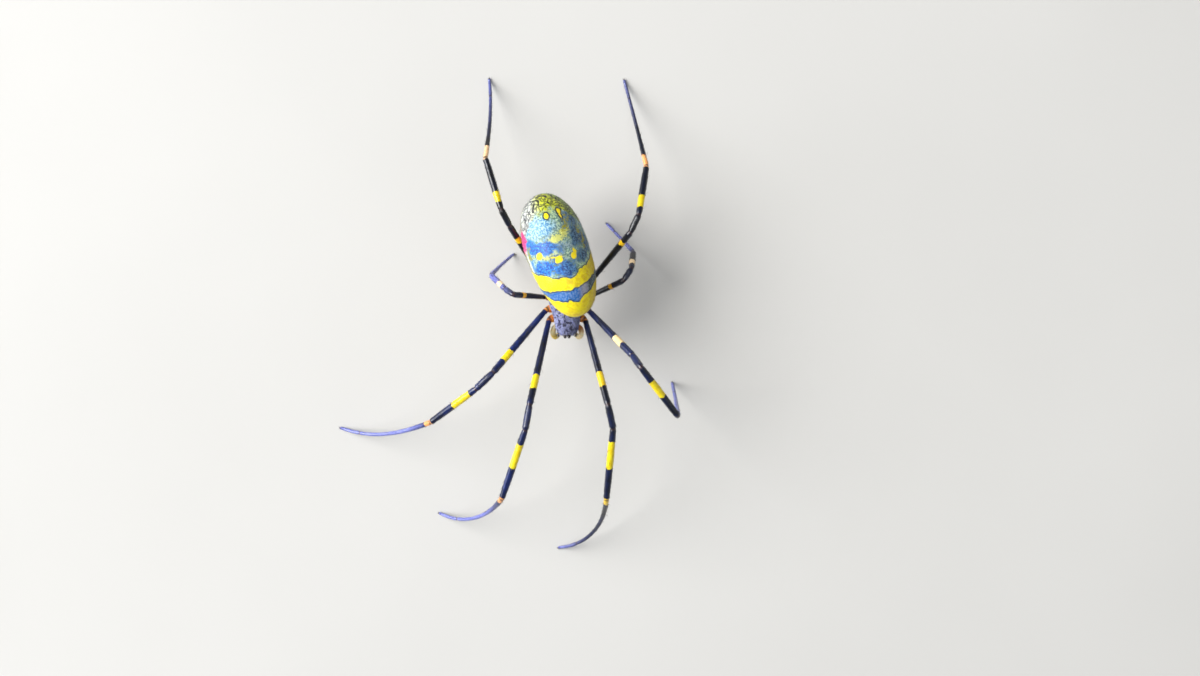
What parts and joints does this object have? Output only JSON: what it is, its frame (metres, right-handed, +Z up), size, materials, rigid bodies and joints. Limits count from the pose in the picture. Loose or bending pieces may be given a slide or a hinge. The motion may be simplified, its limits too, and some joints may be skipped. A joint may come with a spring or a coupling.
{
  "type": "golden silk orb weaver spider",
  "caption": "Life-size still model of a female joro spider, a golden silk orb weaver, standing on its feet with long banded legs reaching to the front and back.",
  "frame": {"origin": "on the floor, under the middle of the whole animal's bounding box", "axes": "+Z is up, -Y is where the head points, +X is the animal's left side"},
  "size_m": [0.0462, 0.065, 0.019],
  "materials": {
    "abdomen_skin": "soft satin skin, yellow bands on blue with dark fine lines",
    "carapace_cuticle": "dark cuticle under short silvery down",
    "dark_cuticle": "dark brown, satin",
    "jaw_cuticle": "very dark brown, glossy",
    "palp_cuticle": "cream yellow with dark tips",
    "coxa_cuticle": "orange brown, satin",
    "leg_cuticle": "blue black with yellow rings, satin sheen",
    "foot_cuticle": "slate violet with an orange yellow ring at the near end",
    "eye": "black, glossy"
  },
  "bodies": {
    "root": {"abdomen": "abdomen_skin", "carapace": "carapace_cuticle", "sternum": "dark_cuticle", "pedicel": "dark_cuticle", "spinnerets": "dark_cuticle", "median_eyes": "eye", "lateral_eyes_right": "eye", "lateral_eyes_left": "eye", "chelicera_right": "jaw_cuticle", "palp_right": "palp_cuticle", "leg_right_1_coxa": "coxa_cuticle", "leg_right_1_femur": "leg_cuticle", "leg_right_1_patella": "leg_cuticle", "leg_right_1_tibia": "leg_cuticle", "leg_right_1_metatarsus": "foot_cuticle", "leg_right_1_tarsus": "foot_cuticle", "leg_right_2_coxa": "coxa_cuticle", "leg_right_2_femur": "leg_cuticle", "leg_right_2_patella": "leg_cuticle", "leg_right_2_tibia": "leg_cuticle", "leg_right_2_metatarsus": "foot_cuticle", "leg_right_2_tarsus": "foot_cuticle", "leg_right_3_coxa": "coxa_cuticle", "leg_right_3_femur": "leg_cuticle", "leg_right_3_patella": "leg_cuticle", "leg_right_3_tibia": "leg_cuticle", "leg_right_3_metatarsus": "foot_cuticle", "leg_right_3_tarsus": "foot_cuticle", "leg_right_4_coxa": "coxa_cuticle", "leg_right_4_femur": "leg_cuticle", "leg_right_4_patella": "leg_cuticle", "leg_right_4_tibia": "leg_cuticle", "leg_right_4_metatarsus": "foot_cuticle", "leg_right_4_tarsus": "foot_cuticle", "chelicera_left": "jaw_cuticle", "palp_left": "palp_cuticle", "leg_left_1_coxa": "coxa_cuticle", "leg_left_1_femur": "leg_cuticle", "leg_left_1_patella": "leg_cuticle", "leg_left_1_tibia": "leg_cuticle", "leg_left_1_metatarsus": "foot_cuticle", "leg_left_1_tarsus": "foot_cuticle", "leg_left_2_coxa": "coxa_cuticle", "leg_left_2_femur": "leg_cuticle", "leg_left_2_patella": "leg_cuticle", "leg_left_2_tibia": "leg_cuticle", "leg_left_2_metatarsus": "foot_cuticle", "leg_left_2_tarsus": "foot_cuticle", "leg_left_3_coxa": "coxa_cuticle", "leg_left_3_femur": "leg_cuticle", "leg_left_3_patella": "leg_cuticle", "leg_left_3_tibia": "leg_cuticle", "leg_left_3_metatarsus": "foot_cuticle", "leg_left_3_tarsus": "foot_cuticle", "leg_left_4_coxa": "coxa_cuticle", "leg_left_4_femur": "leg_cuticle", "leg_left_4_patella": "leg_cuticle", "leg_left_4_tibia": "leg_cuticle", "leg_left_4_metatarsus": "foot_cuticle", "leg_left_4_tarsus": "foot_cuticle"}
  },
  "joints": []
}
